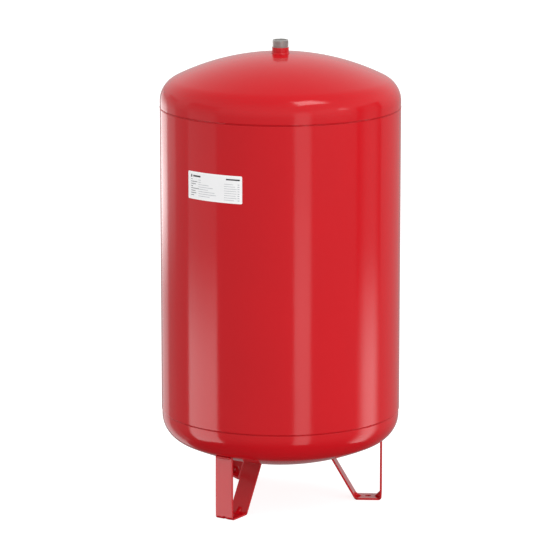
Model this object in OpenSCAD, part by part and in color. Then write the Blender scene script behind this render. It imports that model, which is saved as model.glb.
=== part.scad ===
// Diaphragm expansion vessel on three legs, water connection on top, gas valve underneath.
// Millimetres, +Z up, origin on the floor on the vessel's axis.

/* [Shell] */
// Outside diameter of the cylindrical shell
shell_diameter = 484; // [400:1:600]
// Height of the shell between its two girth seams
shell_height = 620; // [500:1:800]
// Height of the lower girth seam above the floor
seam_height = 190; // [180:1:260]
// Sheet thickness of the shell and both domes
wall = 2; // [1.5:0.1:3]
// Root gap that each girth weld and the long weld fill
weld_gap = 2; // [1.6:0.1:3]
// Depth that each dome's spigot reaches into the shell
spigot_length = 12; // [8:1:20]
// Radial clearance between a dome's spigot and the shell
spigot_fit = 0.15; // [0.05:0.05:0.3]
// Direction of the long weld, counterclockwise from +X
long_weld_angle = 105; // [95:1:115]
// Clearance between a weld bead and the sheets beside it
bead_clearance = 0.03; // [0.01:0.01:0.1]

/* [Domes] */
// Crown radius of the upper dome
upper_crown = 479; // [420:1:560]
// Knuckle radius of the upper dome
upper_knuckle = 50; // [30:1:70]
// Straight skirt of the upper dome
upper_skirt = 12.5; // [8:0.5:20]
// Crown radius of the lower dome
lower_crown = 493; // [420:1:560]
// Knuckle radius of the lower dome
lower_knuckle = 55; // [30:1:70]
// Straight skirt of the lower dome
lower_skirt = 9.5; // [8:0.5:20]
// How far the lower dome sits inside the shell's outer face
lower_inset = 1.2; // [0:0.1:1.8]

/* [Water connection] */
// Outside diameter of the connection pipe
pipe_diameter = 33.7; // [26.9:0.1:42.4]
// Outside diameter of its threaded end
thread_diameter = 32.8; // [26:0.1:41.5]
// Length of the threaded end
thread_length = 15; // [10:0.5:20]
// Bore of the connection pipe
pipe_bore = 25; // [15:0.5:26]
// Height of the connection above the upper dome
pipe_projection = 27; // [24:0.5:50]
// Depth of the pipe below the dome's inside
pipe_inset = 5; // [2:0.5:8]
// Radial clearance of the pipe in the upper dome's hole
pipe_clearance = 0.1; // [0.05:0.05:0.3]
// Leg length of the weld fillet around the pipe
pipe_fillet = 5; // [3:0.5:7]

/* [Inlet guard] */
// Diameter of the perforated guard under the connection
guard_diameter = 64; // [50:1:90]
// Sheet thickness of the guard
guard_sheet = 1.5; // [1:0.1:2.5]
// Distance from the pipe's lower end to the guard
guard_distance = 9; // [6:0.5:14]
// Diameter of each hole in the guard
guard_hole = 7; // [5:0.5:9]
// Number of holes in the guard's ring
guard_holes = 8; // [4:1:10]
// Radius of the ring of holes
guard_ring = 15; // [12:0.5:18]
// Diameter of the guard's three posts
guard_post = 5; // [4:0.5:6]

/* [Legs] */
// Width of the flat bar that each leg is bent from
leg_width = 40; // [30:1:50]
// Thickness of the flat bar
leg_sheet = 4; // [3:0.5:6]
// Distance from the shell's outer face in to the outer face of each leg
leg_setback = 34; // [28:1:60]
// Length of the flat foot, outer face to inner bend
foot_length = 50; // [44:1:60]
// Lean of the inner strip from upright
leg_lean = 30; // [20:1:35]
// Outside radius of the two bends
bend_radius = 7; // [6.5:0.5:10]
// Diameter of the bolt hole in each foot
foot_hole = 12; // [8:0.5:14]
// Distance from a leg's outer face in to its bolt hole
foot_hole_setback = 28; // [25:1:30]
// Direction of the right-hand leg, counterclockwise from +X
leg_start = -3; // [-10:1:10]
// Size of the pressed stiffening dart in each bend
dart = 11; // [6:0.5:12]
// Width of the pressed dart
dart_width = 8; // [4:0.5:12]
// Clearance between a leg's end and the lower dome
leg_clearance = 0.05; // [0.02:0.01:0.2]
// Radius of the weld bead along each leg's end
leg_bead = 2.5; // [1.5:0.1:3.5]

/* [Label] */
// Width of the rating label around the shell
label_width = 128; // [80:1:160]
// Height of the rating label
label_height = 55; // [40:1:80]
// Height of the label's middle above the floor
label_middle = 681; // [600:1:700]
// Direction of the label's middle, counterclockwise from +X
label_angle = 236.9; // [200:0.1:330]
// Thickness of the label film
label_film = 0.4; // [0.2:0.1:0.6]

/* [Diaphragm] */
// Height of the clamp seat above the lower seam
seat_height = 298; // [240:1:320]
// Width of the support ring's flange
seat_width = 18; // [14:1:22]
// Thickness of the support ring
seat_sheet = 3; // [2:0.5:4]
// Height of the support ring's upright leg
seat_leg = 18; // [12:1:24]
// Radial clearance between the rings and the shell
ring_fit = 0.1; // [0.05:0.05:0.3]
// Thickness of the rubber diaphragm
rubber = 3; // [2:0.5:4]
// Depth of the hanging diaphragm below its seat at rest
bag_depth = 190; // [160:1:240]
// Crown radius of the diaphragm
bag_crown = 420; // [360:1:460]
// Knuckle radius of the diaphragm
bag_knuckle = 60; // [40:1:80]
// Radial clearance between the diaphragm and the support ring
bag_gap = 0.5; // [0.3:0.1:1]
// Height of the diaphragm's thick rim
rim_height = 8; // [6:0.5:10]
// Width of the diaphragm's thick rim
rim_width = 6; // [4:0.5:8]
// Distance from the rim's outer face to the rings' outer face
rim_setback = 4; // [2:0.5:5]
// Thickness of the clamp ring's flange over the rim
clamp_sheet = 4; // [3:0.5:6]
// Height of the split retaining ring
retainer_height = 4; // [3:0.5:6]
// Radial width of the split retaining ring
retainer_width = 11; // [9:0.5:14]
// Width of the retaining ring's split
retainer_split = 14; // [8:1:24]
// Clearance between stacked clamp pieces
stack_gap = 0.05; // [0.03:0.01:0.1]

/* [Gas valve] */
// Inside diameter of the pocket pressed into the lower dome
pocket_diameter = 60; // [50:1:72]
// Depth of the pocket
pocket_depth = 26; // [25:0.5:34]
// Diameter of the welded valve boss
boss_diameter = 20; // [18:0.5:24]
// Length of the boss below the pocket's roof
boss_drop = 5; // [4:0.5:7]
// Length of the boss above the pocket's roof plate
boss_rise = 6; // [3:0.5:8]
// Radial clearance of the boss in the pocket's roof
boss_clearance = 0.1; // [0.05:0.05:0.3]
// Diameter of the boss's bore
boss_bore = 10; // [9:0.5:11]
// Leg length of the weld fillet around the boss
boss_fillet = 3; // [2:0.5:4]
// Radial clearance of the valve body's shank
shank_fit = 0.05; // [0.02:0.01:0.1]
// Distance across the valve body's hexagon flats
valve_hex = 14; // [13.5:0.5:17]
// Height of the hexagon
hex_height = 5; // [4:0.5:6]
// Diameter of the valve stem
stem_diameter = 7.7; // [7.5:0.1:8.5]
// Length of the valve stem
stem_length = 12; // [11:0.5:13]
// Bore of the valve stem
stem_bore = 5.3; // [5:0.1:5.6]
// Cross-section diameter of the O-ring
o_ring = 1.9; // [1.5:0.1:2.2]
// Radial width of the O-ring's recess
o_ring_seat = 2.4; // [2.4:0.1:2.8]

/* [Valve core] */
// Length of the core barrel
core_length = 8; // [7:0.5:8.5]
// Radial clearance of the core barrel in the stem
core_fit = 0.05; // [0.02:0.01:0.1]
// Distance from the stem's mouth to the core barrel
core_inset = 1.2; // [0.8:0.1:1.6]
// Bore of the core's spring chamber
core_chamber = 4; // [3.8:0.1:4.2]
// Thickness of the core's bridge
core_bridge = 2; // [1.5:0.1:2.5]
// Height of the core's rubber sleeve
core_sleeve = 1.5; // [1:0.1:2]
// Wall of the core's rubber sleeve
sleeve_wall = 0.6; // [0.4:0.1:0.8]
// Diameter of the pin
pin_diameter = 1.6; // [1.4:0.1:1.8]
// Radial clearance of the pin in the core's bridge
pin_fit = 0.05; // [0.02:0.01:0.1]
// Distance from the stem's mouth to the pin's tip
pin_inset = 0.4; // [0.3:0.1:0.8]
// Diameter of the pin's spring collar
collar_diameter = 3.4; // [3.2:0.1:3.6]
// Thickness of the pin's spring collar
collar_height = 0.8; // [0.5:0.1:1]
// Distance from the core's mouth to the spring collar
collar_inset = 0.6; // [0.4:0.1:1]
// Diameter of the pin's sealing head
head_diameter = 4.2; // [3.8:0.1:4.4]
// Thickness of the pin's sealing head
head_height = 1.2; // [0.8:0.1:1.6]
// Thickness of the rubber washer under the sealing head
washer_height = 0.8; // [0.5:0.1:1]
// Wire diameter of the pin's spring
spring_wire = 0.4; // [0.3:0.05:0.5]
// Number of turns of the pin's spring
spring_turns = 6; // [4:1:7]

/* [Valve cap] */
// Outside diameter of the valve cap
cap_diameter = 11.2; // [10.8:0.1:13]
// Height of the valve cap
cap_height = 13; // [12:0.5:13.5]
// Radial clearance between the cap and the stem
cap_fit = 0.08; // [0.03:0.01:0.1]
// Thickness of the cap's closed end
cap_end = 1.6; // [1:0.1:2]
// Thickness of the cap's seal
cap_seal_height = 0.8; // [0.5:0.1:1]
// Clearance between the cap's seal and the stem's mouth
cap_seal_gap = 0.05; // [0.03:0.01:0.1]
// Number of grip grooves around the cap
grip_grooves = 20; // [8:1:24]
// Depth of each grip groove
grip_depth = 0.4; // [0.2:0.1:0.6]

/* [Hidden] */
$fn = 96;
sphere_fn = 256;
crown_steps = 24;
knuckle_steps = 16;
bend_steps = 12;
leg_angles = [leg_start, leg_start + 120, leg_start + 240];
post_angles = [30, 150, 270];

// Shell
shell_r = shell_diameter / 2;
inner_r = shell_r - wall;
upper_seam = seam_height + shell_height;
half_gap = weld_gap / 2;
spigot_r = inner_r - spigot_fit;
lower_r = shell_r - lower_inset;

// Height of a dome's crown centre above its seam
function crown_centre(radius, crown, knuckle, skirt) =
    skirt - sqrt(pow(crown - knuckle, 2) - pow(radius - knuckle, 2));
upper_centre = upper_seam + crown_centre(shell_r, upper_crown, upper_knuckle, upper_skirt);
lower_centre = seam_height - crown_centre(lower_r, lower_crown, lower_knuckle, lower_skirt);
apex = upper_centre + upper_crown;
lowest = lower_centre - lower_crown;
// Heights of the upper dome's two faces at a radius
function upper_outside(radius) = upper_centre + sqrt(pow(upper_crown, 2) - pow(radius, 2));
function upper_inside(radius) = upper_centre + sqrt(pow(upper_crown - wall, 2) - pow(radius, 2));

// Water connection and guard
pipe_r = pipe_diameter / 2;
pipe_top = apex + pipe_projection;
pipe_bottom = apex - wall - pipe_inset;
guard_r = guard_diameter / 2;
guard_top = pipe_bottom - guard_distance;
post_radius = guard_r - guard_post;

// Legs
leg_radius = shell_r - leg_setback;
foot_hole_radius = leg_radius - foot_hole_setback;
bend_inside = bend_radius - leg_sheet;
foot_end = leg_radius - foot_length;
leg_turn = 90 - leg_lean;
upright = [0, 1];
strip_start = [foot_end - bend_radius * cos(leg_lean), bend_radius * (1 - sin(leg_lean))];
strip_way = [-sin(leg_lean), cos(leg_lean)];
strip_side = [-cos(leg_lean), -sin(leg_lean)];
// Distance along a side outline's direction to a radius about the lower dome's crown centre
function way_to(start, way, radius) =
    let (from = start - [0, lower_centre], along = from * way)
    -along - sqrt(pow(along, 2) - from * from + pow(radius, 2));
outer_length = way_to([leg_radius, 0], upright, lower_crown);
strip_length = way_to(strip_start, strip_way, lower_crown);
leg_overrun = 8;
dart_root = 1;

// Clamp
seat_z = seam_height + seat_height;
ring_r = inner_r - ring_fit;
seat_inner = ring_r - seat_width;
bag_r = seat_inner - bag_gap;
bag_rise = bag_crown - sqrt(pow(bag_crown - bag_knuckle, 2) - pow(bag_r - bag_knuckle, 2));
rim_r = ring_r - rim_setback;
rim_inner = rim_r - rim_width;
rim_top = seat_z + stack_gap + rim_height;
clamp_top = rim_top + stack_gap + clamp_sheet;
clamp_bottom = seat_z + rubber + 2 * stack_gap;

// Gas valve, with its mouth pointing down
pocket_r = pocket_diameter / 2;
roof_z = lowest + pocket_depth;
boss_r = boss_diameter / 2;
boss_bottom = roof_z - boss_drop;
boss_top = roof_z + wall + boss_rise;
shank_r = boss_bore / 2 - shank_fit;
hex_top = boss_bottom - stack_gap;
hex_bottom = hex_top - hex_height;
stem_r = stem_diameter / 2;
mouth_z = hex_bottom - stem_length;
core_r = stem_bore / 2 - core_fit;
core_bottom = mouth_z + core_inset;
core_top = core_bottom + core_length;
sleeve_inner = core_r - sleeve_wall;
bridge_bottom = core_top - core_bridge;
pin_r = pin_diameter / 2;
collar_bottom = core_bottom + collar_inset;
collar_top = collar_bottom + collar_height;
washer_bottom = core_top + stack_gap;
head_bottom = washer_bottom + washer_height + stack_gap;
spring_r = (core_chamber / 2 + pin_r) / 2;
spring_bottom = collar_top + stack_gap + spring_wire / 2;
spring_top = bridge_bottom - stack_gap - spring_wire / 2;
cap_r = cap_diameter / 2;
cap_floor = mouth_z - cap_seal_gap - cap_seal_height - stack_gap;
cap_bottom = cap_floor - cap_end;

// Colours
paint = [0.80, 0.13, 0.16];
bare_steel = [0.62, 0.62, 0.62];
zinc = [0.72, 0.73, 0.75];
brass = [0.78, 0.62, 0.30];
black_rubber = [0.10, 0.10, 0.10];
film = [0.86, 0.86, 0.87];

// ---- Shared shapes ----

// Points along an arc
function arc_points(centre, radius, from, to, steps) = [
    for (i = [0 : steps])
        let (angle = from + (to - from) * i / steps)
        centre + radius * [cos(angle), sin(angle)]
];

// One face of a dished wall, from the skirt's rim at height foot up to the apex
function dished_face(radius, crown, knuckle, skirt, inward, foot) =
    let (tangent = 90 - asin((radius - knuckle) / (crown - knuckle)))
    concat(
        [[radius - inward, foot]],
        arc_points([radius - knuckle, skirt], knuckle - inward, 0, tangent, knuckle_steps),
        arc_points(
            [0, crown_centre(radius, crown, knuckle, skirt)],
            crown - inward, tangent + (90 - tangent) / crown_steps, 90, crown_steps - 1
        )
    );

// Half section of a dished wall that opens downwards, with its skirt's rim at height foot
module dished_wall(radius, crown, knuckle, skirt, sheet, foot) {
    inner = dished_face(radius, crown, knuckle, skirt, sheet, foot);
    last = len(inner) - 1;
    polygon(concat(
        dished_face(radius, crown, knuckle, skirt, 0, foot),
        [for (i = [0 : last]) inner[last - i]]
    ));
}

// A dome with the joggled spigot that slides into the shell
module dome(radius, crown, knuckle, skirt) {
    rotate_extrude() {
        dished_wall(radius, crown, knuckle, skirt, wall, half_gap);
        translate([spigot_r - wall, half_gap])
            square([radius - spigot_r + wall, wall]);
        translate([spigot_r - wall, -spigot_length])
            square([wall, spigot_length + half_gap + wall]);
    }
}

// A flat ring of rectangular section
module flat_ring(outer, inner, bottom, height) {
    translate([0, 0, bottom])
        difference() {
            cylinder(r = outer, h = height);
            translate([0, 0, -1])
                cylinder(r = inner, h = height + 2);
        }
}

// ---- Shell and welds ----

module shell_cylinder() {
    color(paint)
    difference() {
        flat_ring(shell_r, inner_r, seam_height + half_gap, shell_height - weld_gap);
        rotate(long_weld_angle)
            translate([inner_r - wall, -half_gap, seam_height])
                cube([3 * wall, weld_gap, shell_height]);
    }
}

module upper_dome() {
    color(paint)
    difference() {
        translate([0, 0, upper_seam])
            dome(shell_r, upper_crown, upper_knuckle, upper_skirt);
        translate([0, 0, apex - 3 * wall])
            cylinder(r = pipe_r + pipe_clearance, h = 4 * wall);
    }
}

module lower_dome() {
    color(paint)
    union() {
        difference() {
            translate([0, 0, seam_height])
                mirror([0, 0, 1])
                    dome(lower_r, lower_crown, lower_knuckle, lower_skirt);
            translate([0, 0, lowest - wall])
                cylinder(r = pocket_r + wall / 2, h = 4 * wall);
        }
        // Pocket wall, trimmed to the dome's outer face
        difference() {
            flat_ring(pocket_r + wall, pocket_r, lowest, pocket_depth + wall);
            difference() {
                translate([0, 0, lowest - wall])
                    cylinder(r = pocket_r + 2 * wall, h = 3 * wall);
                translate([0, 0, lower_centre])
                    sphere(r = lower_crown, $fn = sphere_fn);
            }
        }
        flat_ring(pocket_r + wall, boss_r + boss_clearance, roof_z, wall);
    }
}

// Bead that fills a girth gap and stands up as a half-round cap
module girth_bead(face_r) {
    bead_r = half_gap - bead_clearance;
    rotate_extrude() {
        translate([spigot_r + bead_clearance, -bead_r])
            square([face_r - spigot_r - bead_clearance, 2 * bead_r]);
        intersection() {
            translate([face_r, 0])
                circle(r = bead_r);
            translate([face_r, -bead_r])
                square([bead_r, 2 * bead_r]);
        }
    }
}

module upper_girth_weld() {
    color(paint)
    translate([0, 0, upper_seam])
        girth_bead(shell_r);
}

module lower_girth_weld() {
    color(paint)
    translate([0, 0, seam_height])
        girth_bead(lower_r);
}

module long_weld() {
    bead_r = half_gap - bead_clearance;
    color(paint)
    rotate(long_weld_angle)
        translate([0, 0, seam_height + half_gap]) {
            translate([inner_r, -bead_r, 0])
                cube([wall, 2 * bead_r, shell_height - weld_gap]);
            translate([shell_r, 0, 0])
                cylinder(r = bead_r, h = shell_height - weld_gap);
        }
}

// ---- Water connection ----

module connection_nipple() {
    color(bare_steel)
    difference() {
        union() {
            translate([0, 0, pipe_bottom])
                cylinder(r = pipe_r, h = pipe_top - thread_length - pipe_bottom);
            translate([0, 0, pipe_top - thread_length - 1])
                cylinder(r = thread_diameter / 2, h = thread_length + 1);
        }
        translate([0, 0, pipe_bottom - 1])
            cylinder(r = pipe_bore / 2, h = pipe_top - pipe_bottom + 2);
    }
}

module nipple_weld() {
    inside = pipe_r + bead_clearance;
    foot = upper_outside(inside) + bead_clearance;
    toe_r = inside + pipe_fillet;
    color(paint)
    rotate_extrude()
        polygon([
            [inside, foot],
            [toe_r, upper_outside(toe_r) + bead_clearance],
            [inside, foot + pipe_fillet]
        ]);
}

module inlet_guard() {
    color(zinc) {
        difference() {
            translate([0, 0, guard_top - guard_sheet])
                cylinder(r = guard_r, h = guard_sheet);
            for (i = [0 : guard_holes - 1])
                rotate(i * 360 / guard_holes)
                    translate([guard_ring, 0, guard_top - guard_sheet - 1])
                        cylinder(d = guard_hole, h = guard_sheet + 2);
            translate([0, 0, guard_top - guard_sheet - 1])
                cylinder(d = guard_hole, h = guard_sheet + 2);
        }
        for (angle = post_angles)
            rotate(angle)
                translate([post_radius, 0, guard_top - guard_sheet])
                    cylinder(
                        d = guard_post,
                        h = upper_inside(post_radius + guard_post) - guard_top + guard_sheet
                    );
    }
}

// ---- Legs ----

// Side outline of the bent bar, radius along x and height along y
module leg_outline() {
    outer_centre = [leg_radius - bend_radius, bend_radius];
    inner_centre = [foot_end, bend_radius];
    outer_top = [leg_radius, outer_length + leg_overrun];
    strip_top = strip_start + (strip_length + leg_overrun) * strip_way;
    polygon(concat(
        [outer_top],
        arc_points(outer_centre, bend_radius, 0, -90, bend_steps),
        arc_points(inner_centre, bend_radius, -90, -90 - leg_turn, bend_steps),
        [strip_top, strip_top - leg_sheet * strip_side],
        arc_points(inner_centre, bend_inside, -90 - leg_turn, -90, bend_steps),
        arc_points(outer_centre, bend_inside, -90, 0, bend_steps),
        [outer_top - [leg_sheet, 0]]
    ));
}

// Side outlines of the two pressed darts
module dart_outlines() {
    inside = leg_radius - leg_sheet;
    polygon([
        [inside + dart_root, leg_sheet - dart_root],
        [inside - dart, leg_sheet - dart_root],
        [inside - dart, leg_sheet],
        [inside, leg_sheet + dart],
        [inside + dart_root, leg_sheet + dart]
    ]);
    mitre = bend_inside / cos(leg_turn / 2);
    corner = [foot_end, bend_radius] + mitre * [cos(270 - leg_turn / 2), sin(270 - leg_turn / 2)];
    root = dart_root * [cos(270 - leg_turn / 2), sin(270 - leg_turn / 2)];
    polygon([
        corner + root,
        corner + [dart, 0] + root,
        corner + [dart, 0],
        corner + dart * strip_way,
        corner + dart * strip_way + root
    ]);
}

module leg(angle) {
    color(paint)
    rotate(angle)
        difference() {
            union() {
                rotate([90, 0, 0])
                    linear_extrude(leg_width, center = true)
                        leg_outline();
                rotate([90, 0, 0])
                    linear_extrude(dart_width, center = true)
                        dart_outlines();
            }
            translate([0, 0, lower_centre])
                sphere(r = lower_crown + leg_clearance, $fn = sphere_fn);
            translate([foot_hole_radius, 0, -1])
                cylinder(d = foot_hole, h = leg_sheet + 2);
        }
}

module leg_right() {
    leg(leg_angles[0]);
}

module leg_back() {
    leg(leg_angles[1]);
}

module leg_front_left() {
    leg(leg_angles[2]);
}

// A bead in the corner between one face of the bar and the lower dome
module end_bead(start, way, side) {
    standoff = leg_bead + bead_clearance;
    line = start + standoff * side;
    place = line + way_to(line, way, lower_crown + standoff + leg_clearance) * way;
    translate([place.x, 0, place.y])
        rotate([90, 0, 0])
            cylinder(r = leg_bead, h = leg_width - 2 * leg_bead, center = true);
}

module leg_welds() {
    color(paint)
    for (angle = leg_angles)
        rotate(angle) {
            end_bead([leg_radius, 0], upright, [1, 0]);
            end_bead(strip_start, strip_way, strip_side);
        }
}

// ---- Label ----

module rating_label() {
    span = label_width / shell_r * 180 / PI;
    color(film)
    rotate(label_angle - span / 2)
        rotate_extrude(angle = span)
            translate([shell_r + bead_clearance, label_middle - label_height / 2])
                square([label_film, label_height]);
}

// ---- Diaphragm and its clamp ----

module support_ring() {
    color(zinc)
    union() {
        flat_ring(ring_r, seat_inner, seat_z - seat_sheet, seat_sheet);
        flat_ring(ring_r, ring_r - seat_sheet, seat_z - seat_leg, seat_leg - seat_sheet / 2);
    }
}

module diaphragm() {
    rim_bottom = seat_z + stack_gap;
    color(black_rubber)
    union() {
        translate([0, 0, rim_bottom])
            mirror([0, 0, 1])
                rotate_extrude()
                    dished_wall(
                        bag_r, bag_crown, bag_knuckle, bag_depth - bag_rise, rubber, -rubber
                    );
        flat_ring(rim_r, bag_r - rubber / 2, rim_bottom, rubber);
        flat_ring(rim_r, rim_inner, rim_bottom, rim_height);
    }
}

module clamp_ring() {
    color(zinc)
    rotate_extrude()
        polygon([
            [seat_inner, clamp_bottom],
            [rim_inner - bag_gap, clamp_bottom],
            [rim_inner - bag_gap, rim_top + stack_gap],
            [rim_r, rim_top + stack_gap],
            [rim_r, clamp_top],
            [seat_inner, clamp_top]
        ]);
}

module retaining_ring() {
    color(zinc)
    difference() {
        flat_ring(ring_r, ring_r - retainer_width, clamp_top + stack_gap, retainer_height);
        rotate(long_weld_angle)
            translate([ring_r - 2 * retainer_width, -retainer_split / 2, clamp_top])
                cube([3 * retainer_width, retainer_split, 2 * retainer_height]);
    }
}

// ---- Gas valve ----

module valve_boss() {
    color(bare_steel)
    difference() {
        translate([0, 0, boss_bottom])
            cylinder(r = boss_r, h = boss_top - boss_bottom);
        translate([0, 0, boss_bottom - 1])
            cylinder(d = boss_bore, h = boss_top - boss_bottom + 2);
        translate([0, 0, boss_bottom - 1])
            cylinder(r = boss_bore / 2 + o_ring_seat, h = 1 + o_ring);
    }
}

module boss_weld() {
    roof = roof_z - bead_clearance;
    inside = boss_r + bead_clearance;
    color(paint)
    rotate_extrude()
        polygon([[inside, roof], [inside + boss_fillet, roof], [inside, roof - boss_fillet]]);
}

module valve_body() {
    color(brass)
    difference() {
        union() {
            translate([0, 0, hex_top - 1])
                cylinder(r = shank_r, h = boss_top - hex_top + 1);
            translate([0, 0, hex_bottom])
                cylinder(d = valve_hex / cos(30), h = hex_height, $fn = 6);
            translate([0, 0, mouth_z])
                cylinder(r = stem_r, h = stem_length + 1);
        }
        translate([0, 0, mouth_z - 1])
            cylinder(d = stem_bore, h = boss_top - mouth_z + 2);
    }
}

module valve_o_ring() {
    color(black_rubber)
    translate([0, 0, boss_bottom + o_ring / 2])
        rotate_extrude()
            translate([boss_bore / 2 + o_ring_seat / 2, 0])
                circle(d = o_ring - 2 * stack_gap);
}

module core_barrel() {
    color(brass)
    difference() {
        union() {
            translate([0, 0, core_bottom])
                cylinder(r = core_r, h = core_length - core_sleeve);
            translate([0, 0, core_bottom])
                cylinder(r = sleeve_inner, h = core_length);
        }
        translate([0, 0, core_bottom - 1])
            cylinder(d = core_chamber, h = 1 + bridge_bottom - core_bottom);
        translate([0, 0, core_bottom])
            cylinder(r = pin_r + pin_fit, h = core_length + 1);
    }
}

module core_sleeve_seal() {
    color(black_rubber)
    flat_ring(
        core_r, sleeve_inner + bead_clearance,
        core_top - core_sleeve + bead_clearance, core_sleeve - bead_clearance
    );
}

module valve_pin() {
    color(bare_steel) {
        translate([0, 0, mouth_z + pin_inset])
            cylinder(r = pin_r, h = head_bottom + head_height - mouth_z - pin_inset);
        translate([0, 0, collar_bottom])
            cylinder(d = collar_diameter, h = collar_height);
        translate([0, 0, head_bottom])
            cylinder(d = head_diameter, h = head_height);
    }
}

module pin_washer() {
    color(black_rubber)
    flat_ring(head_diameter / 2, pin_r + bead_clearance, washer_bottom, washer_height);
}

// Round wire wound between the pin's collar and the core's bridge
module valve_spring() {
    steps = 20 * spring_turns;
    sides = 8;
    rise = spring_top - spring_bottom;
    points = [
        for (i = [0 : steps], k = [0 : sides - 1])
            let (
                turn = i * 360 * spring_turns / steps,
                side = k * 360 / sides,
                radius = spring_r + spring_wire / 2 * cos(side)
            )
            [
                radius * cos(turn),
                radius * sin(turn),
                spring_bottom + rise * i / steps + spring_wire / 2 * sin(side)
            ]
    ];
    skin = [
        for (i = [0 : steps - 1], k = [0 : sides - 1])
            let (next = (k + 1) % sides)
            [i * sides + k, i * sides + next, (i + 1) * sides + next, (i + 1) * sides + k]
    ];
    ends = [
        [for (k = [0 : sides - 1]) sides - 1 - k],
        [for (k = [0 : sides - 1]) steps * sides + k]
    ];
    color(bare_steel)
    polyhedron(points = points, faces = concat(skin, ends));
}

module valve_cap() {
    color(black_rubber)
    difference() {
        translate([0, 0, cap_bottom])
            cylinder(r = cap_r, h = cap_height);
        translate([0, 0, cap_floor])
            cylinder(r = stem_r + cap_fit, h = cap_height);
        for (i = [0 : grip_grooves - 1])
            rotate(i * 360 / grip_grooves)
                translate([cap_r, 0, cap_bottom - 1])
                    cylinder(r = grip_depth, h = cap_height + 2);
    }
}

module cap_seal_disc() {
    color(black_rubber)
    translate([0, 0, cap_floor + stack_gap])
        cylinder(r = stem_r - cap_fit, h = cap_seal_height);
}

shell_cylinder();
upper_dome();
lower_dome();
upper_girth_weld();
lower_girth_weld();
long_weld();
connection_nipple();
nipple_weld();
inlet_guard();
leg_right();
leg_back();
leg_front_left();
leg_welds();
rating_label();
support_ring();
diaphragm();
clamp_ring();
retaining_ring();
valve_boss();
boss_weld();
valve_body();
valve_o_ring();
core_barrel();
core_sleeve_seal();
valve_pin();
pin_washer();
valve_spring();
valve_cap();
cap_seal_disc();
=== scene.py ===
"""An upright expansion vessel for a heating system: a red steel shell on three legs, with its
rubber diaphragm, clamp, water connection and gas valve. The sections follow its assembly."""

from math import acos, atan2, cos, degrees, hypot, pi, radians, sin, sqrt, tan

import bpy
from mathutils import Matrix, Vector


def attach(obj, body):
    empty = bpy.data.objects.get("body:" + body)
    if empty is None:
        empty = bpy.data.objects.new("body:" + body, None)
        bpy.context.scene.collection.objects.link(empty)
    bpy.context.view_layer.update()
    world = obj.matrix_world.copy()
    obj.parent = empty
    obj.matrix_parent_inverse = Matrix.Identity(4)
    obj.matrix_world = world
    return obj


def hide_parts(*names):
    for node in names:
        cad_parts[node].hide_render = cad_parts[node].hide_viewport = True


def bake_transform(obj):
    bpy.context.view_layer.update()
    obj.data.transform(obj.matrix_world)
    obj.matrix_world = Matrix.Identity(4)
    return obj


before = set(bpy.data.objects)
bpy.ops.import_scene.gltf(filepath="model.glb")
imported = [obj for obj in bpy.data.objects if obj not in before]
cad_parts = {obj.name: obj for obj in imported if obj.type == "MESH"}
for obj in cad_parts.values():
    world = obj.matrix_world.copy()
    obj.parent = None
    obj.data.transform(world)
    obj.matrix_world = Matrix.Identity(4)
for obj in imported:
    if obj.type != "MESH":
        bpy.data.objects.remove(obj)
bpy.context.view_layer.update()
MM = 0.001


# ---- Shell ----
# The shell is one mild steel sheet, 2 mm thick, rolled into a cylinder and butt-welded down
# the back. Its outside is sprayed and stoved red with the rest of the vessel, its inside is bare.

shell_r = 242
sheet = 2
inner_r = shell_r - sheet
lower_seam = 190
upper_seam = 810
half_gap = 1
flat_from_seam = 4
painted_core = 34


def nothing_selected():
    """Back to object mode, with no object selected."""
    if bpy.context.object and bpy.context.object.mode != "OBJECT":
        bpy.ops.object.mode_set(mode="OBJECT")
    bpy.ops.object.select_all(action="DESELECT")


def only_selected(piece):
    """Makes a piece the one that the operators act on."""
    nothing_selected()
    piece.select_set(True)
    bpy.context.view_layer.objects.active = piece


def arc(centre, radius, first, last, steps):
    """Points of (radius, height) along an arc whose angles are in degrees."""
    angles = [radians(first + (last - first) * i / steps) for i in range(steps + 1)]
    return [(centre[0] + radius * cos(a), centre[1] + radius * sin(a)) for a in angles]


def rounded(corners, steps=5):
    """A closed outline from (radius, height, fillet) corners, each rounded by its fillet."""
    outline = []
    for i, (x, y, fillet) in enumerate(corners):
        here = Vector((x, y))
        if not fillet:
            outline.append((x, y))
            continue
        before = (Vector(corners[i - 1][:2]) - here).normalized()
        after = (Vector(corners[(i + 1) % len(corners)][:2]) - here).normalized()
        half = before.angle(after) / 2
        centre = here + (before + after).normalized() * fillet / sin(half)
        start = here + before * fillet / tan(half) - centre
        end = here + after * fillet / tan(half) - centre
        first = degrees(atan2(start.y, start.x))
        sweep = (degrees(atan2(end.y, end.x)) - first + 180) % 360 - 180
        outline += arc(centre, fillet, first, first + sweep, steps)
    return outline


def ring_of(name, outline):
    """A closed wire through (x, z) points in mm, left in edit mode with all of it selected."""
    nothing_selected()
    bpy.ops.mesh.primitive_circle_add(vertices=len(outline), radius=1)
    piece = bpy.context.object
    piece.name = name
    for vertex, (x, z) in zip(piece.data.vertices, outline):
        vertex.co = (x * MM, 0, z * MM)
    bpy.ops.object.mode_set(mode="EDIT")
    bpy.ops.mesh.select_all(action="SELECT")
    return piece


def turned(name, outline, steps=192):
    """Spins a closed outline of (radius, height) points in mm about the upright axis."""
    piece = ring_of(name, outline)
    bpy.ops.mesh.spin(steps=steps, angle=2 * pi, center=(0, 0, 0), axis=(0, 0, 1))
    bpy.ops.mesh.select_all(action="SELECT")
    bpy.ops.mesh.remove_doubles(threshold=0.001 * MM)
    bpy.ops.mesh.delete_loose()
    bpy.ops.mesh.select_all(action="SELECT")
    bpy.ops.mesh.normals_make_consistent(inside=False)
    bpy.ops.object.mode_set(mode="OBJECT")
    return piece


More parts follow.
